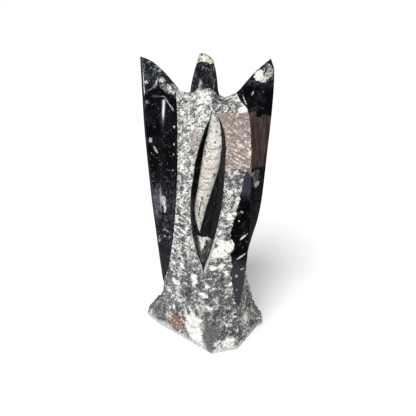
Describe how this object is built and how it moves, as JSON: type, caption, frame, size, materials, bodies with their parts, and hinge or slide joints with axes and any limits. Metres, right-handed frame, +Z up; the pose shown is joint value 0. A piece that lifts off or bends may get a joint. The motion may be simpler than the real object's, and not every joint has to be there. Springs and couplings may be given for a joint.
{
  "type": "orthoceras fossil carving",
  "caption": "Upright stone carving of dark fossil limestone with winged polished sides and a pointed window showing an orthoceras shell, for display on a shelf.",
  "frame": {"origin": "middle of the bounding box in plan, on the sawn underside", "axes": "+X along the line of the two fins, towards the fin on the viewer's right; the window faces -Y; +Z up"},
  "size_m": [0.168, 0.1179, 0.3599],
  "materials": {
    "limestone": "black fossil limestone, mirror polished on fins, horn and window, chiselled pale grey on the panels",
    "calcite": "polished cream-white calcite with darker septa"
  },
  "bodies": {
    "root": {"limestone_matrix": "limestone", "orthoceras_shell": "calcite"}
  },
  "joints": []
}
